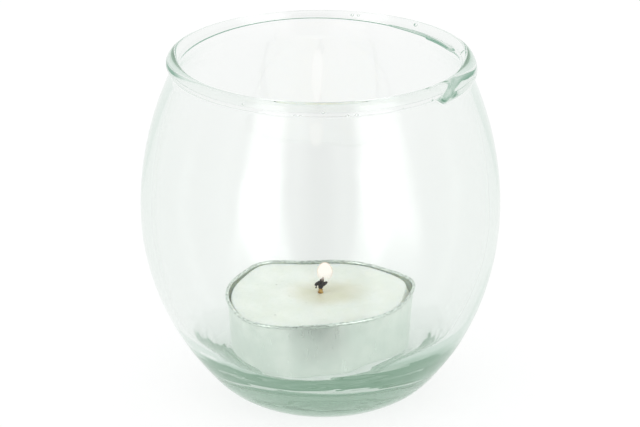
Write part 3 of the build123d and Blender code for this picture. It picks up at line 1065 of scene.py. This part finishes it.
def paraffin_wax():
    """Cast paraffin: milky and satin with a fine bloom, and clear, wet and olive where it has melted."""
    material, tree, output = new_material("cast_paraffin_wax")
    place = add_node(tree, "TexCoord").outputs["Object"]
    bloom = add_node(
        tree, "TexNoise", Vector=place, Scale=1 / (BLOOM_APART * MM), Detail=4.0, Roughness=0.6
    )
    pool = wax_pool(tree, place, bloom)
    patches = add_node(tree, "TexNoise", Vector=place, Scale=1 / (PATCHES_APART * MM), Detail=3.0)
    patchy = add_node(tree, "MapRange", EASED, i0=patches, i1=0.35, i2=0.7)
    dusty = add_node(tree, "MapRange", EASED, i0=bloom, i1=0.52, i2=0.75, i3=0.0, i4=0.4)
    sooty = add_node(tree, "Math", TIMES, i0=soot_specks(tree, place), i1=0.6)
    set_wax = add_node(tree, "Mix", COLOURS, i0=patchy, i6=linear("#f3f3ec"), i7=linear("#faf9f3"))
    set_wax = add_node(tree, "Mix", COLOURS, i0=dusty, i6=set_wax.outputs[2], i7=linear("#c9cfbf"))
    set_wax = add_node(tree, "Mix", COLOURS, i0=sooty, i6=set_wax.outputs[2], i7=linear("#7d7a66"))
    cloudy = add_node(tree, "MapRange", EASED, i0=patches, i1=0.3, i2=0.7)
    melted = add_node(tree, "Mix", COLOURS, i0=cloudy, i6=linear("#e2dec9"), i7=linear("#e9e4d4"))
    colour = add_node(tree, "Mix", COLOURS, i0=pool, i6=set_wax.outputs[2], i7=melted.outputs[2])
    rough = add_node(tree, "MapRange", i0=pool, i1=0.0, i2=1.0, i3=0.45, i4=0.30)
    set_share = add_node(tree, "Math", MINUS, i0=1.0, i1=pool)
    raised = add_node(tree, "Math", TIMES, i0=bloom, i1=set_share)
    bump = add_node(tree, "Bump", Strength=0.5, Distance=0.05 * MM, Height=raised)
    wax = add_node(
        tree, "BsdfPrincipled", Base_Color=colour.outputs[2], Roughness=rough, IOR=WAX_IOR, Normal=bump,
        Subsurface_Weight=0.5, Subsurface_Radius=(1.0, 0.9, 0.7), Subsurface_Scale=2.5 * MM,
    )
    tree.links.new(wax.outputs[0], output.inputs["Surface"])
    return material


wax = new_object("paraffin_wax_pill", wax_mesh, paraffin_wax())
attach(wax, "candle")
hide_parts("wax_fill")

# %% [markdown]
# The wick
#
# A tealight's wick is a braided cotton cord. Its burnt end is a black, brittle crust that bends over and
# splits, and its lower end is brown where it has only been singed. Each branch is a tube that is drawn ring
# by ring: a circle is extruded, and each new ring is carried to the next place, turned and given its own
# radius.


# %% Draw a tube
def grow_tube(bm, rings, sides=10):
    """A closed tube through rings, each with a place and a radius."""
    places = [Vector(ring[:3]) for ring in rings]
    frames = []
    for index, ring in enumerate(rings):
        ahead = places[min(index + 1, len(rings) - 1)] - places[max(index - 1, 0)]
        turn = ahead.to_track_quat("Z", "Y").to_matrix().to_4x4()
        frames.append(Matrix.Translation(places[index]) @ turn @ Matrix.Scale(ring[3], 4))
    verts = bmesh.ops.create_circle(bm, cap_ends=True, segments=sides, radius=1.0, matrix=frames[0])["verts"]
    edges = list({edge for vertex in verts for edge in vertex.link_edges})
    for last, following in zip(frames, frames[1:]):
        made = bmesh.ops.extrude_edge_only(bm, edges=edges)["geom"]
        verts = [item for item in made if isinstance(item, bmesh.types.BMVert)]
        new_edges = [item for item in made if isinstance(item, bmesh.types.BMEdge)]
        edges = [edge for edge in new_edges if all(v in verts for v in edge.verts)]
        bmesh.ops.transform(bm, matrix=following @ last.inverted(), verts=verts)
    bmesh.ops.pointmerge(bm, verts=verts, merge_co=places[-1])


# %% Draw the wick
STEM = (
    (0, 0, -10.9, 0.62), (0, 0, -0.6, 0.62), (0, 0, -0.1, 0.6), (0.02, 0, 0.4, 0.5), (0, 0, 0.9, 0.5),
    (0.05, 0, 1.4, 0.62), (0.15, 0.05, 1.9, 0.6), (0.3, 0.05, 2.4, 0.42), (0.5, 0, 2.8, 0.22),
    (0.62, 0, 3.15, 0.1),
)
RIGHT_SPLINTER = (
    (0.1, 0, 1.3, 0.4), (0.55, -0.05, 1.6, 0.42), (0.95, -0.05, 1.85, 0.34), (1.25, 0, 2.05, 0.22),
    (1.5, 0, 2.15, 0.1),
)
LEFT_CURL = (
    (0.0, 0, 1.9, 0.4), (-0.4, -0.1, 2.0, 0.36), (-0.75, -0.12, 1.75, 0.33), (-0.95, -0.1, 1.35, 0.3),
    (-0.92, -0.1, 0.95, 0.24), (-0.75, -0.1, 0.7, 0.12),
)
CRUST_LAYERS = ((2.2, 0.12), (6.0, 0.05))
CRUST_FROM = (0.4, 1.2)
# Noise vectors start from the clock unless they are given a seed, and the crust would differ in each run.
CRUST_SEED = 1
noise.seed_set(CRUST_SEED)
wick_mesh = bmesh.new()
for branch in (STEM, RIGHT_SPLINTER, LEFT_CURL):
    grow_tube(wick_mesh, branch)
bmesh.ops.subdivide_edges(wick_mesh, edges=wick_mesh.edges[:], cuts=1, use_grid_fill=True)
for vertex in wick_mesh.verts:
    crust = Vector()
    for finer, strength in CRUST_LAYERS:
        crust += noise.noise_vector(vertex.co * finer) * strength
    vertex.co += crust * smooth_step(vertex.co.z, *CRUST_FROM)
bmesh.ops.recalc_face_normals(wick_mesh, faces=wick_mesh.faces[:])
bmesh.ops.translate(wick_mesh, vec=(WICK_X, WICK_Y, WAX_TOP), verts=wick_mesh.verts[:])
print("wick of", len(wick_mesh.verts), "points")

# %% [markdown]
# The wick's finish
#
# Charred cotton is matt black with grey ash in its cracks, and the singed cord below is waxy gold and brown,
# with its threads still to be seen. One colour changes into the other by height, at a level that a noise
# makes ragged, because a wick never burns straight across.

# %% Charred cotton
CRUST_APART = 0.25
THREADS_APART = 2.5
CHAR_RAGGED = 0.5
CHARRED_FROM = (0.75, 1.15)


def charred_cotton():
    """Burnt braided cotton: a matt black crust, brown where it is only singed, and waxy gold at its foot."""
    material, tree, output = new_material("charred_braided_cotton")
    place = add_node(tree, "TexCoord").outputs["Object"]
    level = add_node(tree, "SeparateXYZ", Vector=place).outputs["Z"]
    crust = add_node(
        tree, "TexNoise", Vector=place, Scale=1 / (CRUST_APART * MM), Detail=4.0, Roughness=0.65
    )
    threads = add_node(
        tree, "TexWave", {"wave_type": "BANDS", "bands_direction": "DIAGONAL"},
        Vector=place, Scale=1 / (THREADS_APART * MM), Distortion=2.0, Detail=2.0,
    )
    ragged = add_node(tree, "Math", TIMES_PLUS, i0=crust, i1=CHAR_RAGGED * MM, i2=level)
    none, full = ((WAX_TOP + above) * MM for above in CHARRED_FROM)
    burnt = add_node(tree, "MapRange", EASED, i0=ragged, i1=none, i2=full)
    ashy = add_node(tree, "MapRange", EASED, i0=crust, i1=0.45, i2=0.75)
    black = add_node(tree, "Mix", COLOURS, i0=ashy, i6=linear("#15110e"), i7=linear("#4a4038"))
    singed = add_node(tree, "Mix", COLOURS, i0=threads, i6=linear("#a8752f"), i7=linear("#e0b565"))
    colour = add_node(tree, "Mix", COLOURS, i0=burnt, i6=singed.outputs[2], i7=black.outputs[2])
    bump = add_node(tree, "Bump", Strength=0.8, Distance=0.08 * MM, Height=crust)
    cotton = add_node(tree, "BsdfPrincipled", Base_Color=colour.outputs[2], Roughness=0.85, Normal=bump)
    tree.links.new(cotton.outputs[0], output.inputs["Surface"])
    return material


wick = new_object("braided_cotton_wick", wick_mesh, charred_cotton())
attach(wick, "candle")
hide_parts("wick")

# %% [markdown]
# The wick holder
#
# A stamped tin disc under the wax keeps the wick upright. Its shape in the solid model is already right, so
# only its finish is added: bright tin with fine rolling marks, dulled by the wax. Real rolling marks are too
# fine to show, so they are drawn 0.3 mm apart.

# %% Stamped tinplate
ROLLING_MARKS_APART = 0.3


def stamped_tinplate():
    """Thin tinned steel: bright and slightly satin, with rolling marks along one way."""
    material, tree, output = new_material("stamped_tinplate")
    place = add_node(tree, "TexCoord").outputs["Object"]
    along = add_node(tree, "Mapping", Vector=place, Scale=(0.1, 1.0, 1.0))
    marks = add_node(tree, "TexNoise", Vector=along, Scale=1 / (ROLLING_MARKS_APART * MM), Detail=3.0)
    colour = add_node(tree, "Mix", COLOURS, i0=marks, i6=linear("#b9b8b2"), i7=linear("#d2d1cb"))
    rough = add_node(tree, "MapRange", i0=marks, i1=0.3, i2=0.7, i3=0.22, i4=0.38)
    bump = add_node(tree, "Bump", Strength=0.3, Distance=0.02 * MM, Height=marks)
    tin = add_node(
        tree, "BsdfPrincipled", Base_Color=colour.outputs[2], Metallic=1.0, Roughness=rough, Normal=bump
    )
    tree.links.new(tin.outputs[0], output.inputs["Surface"])
    return material


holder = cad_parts["wick_sustainer"]
holder.data.materials.clear()
holder.data.materials.append(stamped_tinplate())
print("holder has", len(holder.data.polygons), "faces")

# %% [markdown]
# The flame
#
# A flame is glowing soot, brightest in its upper middle, orange at its thin edge and almost clear at its
# foot. It isn't a solid, so the model has none. Here it is a small spun drop that gives light, fades out by
# height with a transparent share, and rides with the candle.

# %% Draw the flame
FLAME_FOOT = 1.9
FLAME_TOP = 6.3
FLAME_RADIUS = 1.62
FLAME_X = 0.85
FLAME_STEPS = 40
FLAME_TALL = FLAME_TOP - FLAME_FOOT
# Shares of the flame's radius and height, from its foot to its tip.
FLAME_PROFILE = (
    (0.45, 0.08), (0.75, 0.2), (0.95, 0.38), (1.0, 0.55), (0.9, 0.74), (0.66, 0.88), (0.34, 0.97),
)
flame_mesh = bmesh.new()
point = flame_mesh.verts.new((0, 0, 0))
for across, up in FLAME_PROFILE:
    point = line_to(flame_mesh, point, across * FLAME_RADIUS, up * FLAME_TALL, steps=2)
line_to(flame_mesh, point, 0, FLAME_TALL, steps=2)
turn_section(flame_mesh, ((math.tau, FLAME_STEPS),))
for _ in range(2):
    bmesh.ops.smooth_vert(
        flame_mesh, verts=flame_mesh.verts[:], factor=0.5, use_axis_x=True, use_axis_y=True, use_axis_z=True
    )
flame_place = (WICK_X + FLAME_X, WICK_Y, WAX_TOP + FLAME_FOOT)
bmesh.ops.translate(flame_mesh, vec=flame_place, verts=flame_mesh.verts[:])
print("flame %.1f mm tall" % FLAME_TALL)

# %% Glowing flame
FLAME_LIGHT = 1.15
FLAME_LIGHT_MIRRORED = 0.5
BODY_FADES = (0.0, 0.6)
FOOT_FADES = (0.1, 0.7)
FACING_FADES = (0.35, 0.9)
THIN_FADES = (0.3, 0.95)


def candle_flame():
    """Glowing soot: white in its core, cream in its body, orange at its edge and clear at its foot."""
    material, tree, output = new_material("candle_flame_glow")
    place = add_node(tree, "TexCoord").outputs["Object"]
    level = add_node(tree, "SeparateXYZ", Vector=place).outputs["Z"]
    facing = add_node(tree, "LayerWeight", Blend=0.5).outputs["Facing"]
    core, foot = (
        add_node(tree, "MapRange", EASED, i0=level, i1=low * MM, i2=high * MM)
        for low, high in (
            [WAX_TOP + FLAME_FOOT + share * FLAME_TALL for share in fades]
            for fades in (BODY_FADES, FOOT_FADES)
        )
    )
    edge = add_node(tree, "MapRange", EASED, i0=facing, i1=FACING_FADES[0], i2=FACING_FADES[1])
    thick = add_node(
        tree, "MapRange", EASED, i0=facing, i1=THIN_FADES[0], i2=THIN_FADES[1], i3=1.0, i4=0.2
    )
    body = add_node(tree, "Mix", COLOURS, i0=core, i6=linear("#f6dcc4"), i7=linear("#fff9f0"))
    colour = add_node(tree, "Mix", COLOURS, i0=edge, i6=body.outputs[2], i7=linear("#fbdcc4"))
    solid = add_node(tree, "Math", TIMES, i0=foot, i1=thick)
    mirrored = add_node(tree, "LightPath").outputs["Is Reflection Ray"]
    strength = add_node(tree, "Math", TIMES_PLUS, i0=mirrored, i1=FLAME_LIGHT_MIRRORED, i2=FLAME_LIGHT)
    glow = add_node(tree, "Emission", Color=colour.outputs[2], Strength=strength)
    clear = add_node(tree, "BsdfTransparent")
    mix = add_node(tree, "MixShader", i0=solid, i1=clear, i2=glow)
    tree.links.new(mix.outputs[0], output.inputs["Surface"])
    return material


flame = new_object("flame", flame_mesh, candle_flame())
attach(flame, "candle")
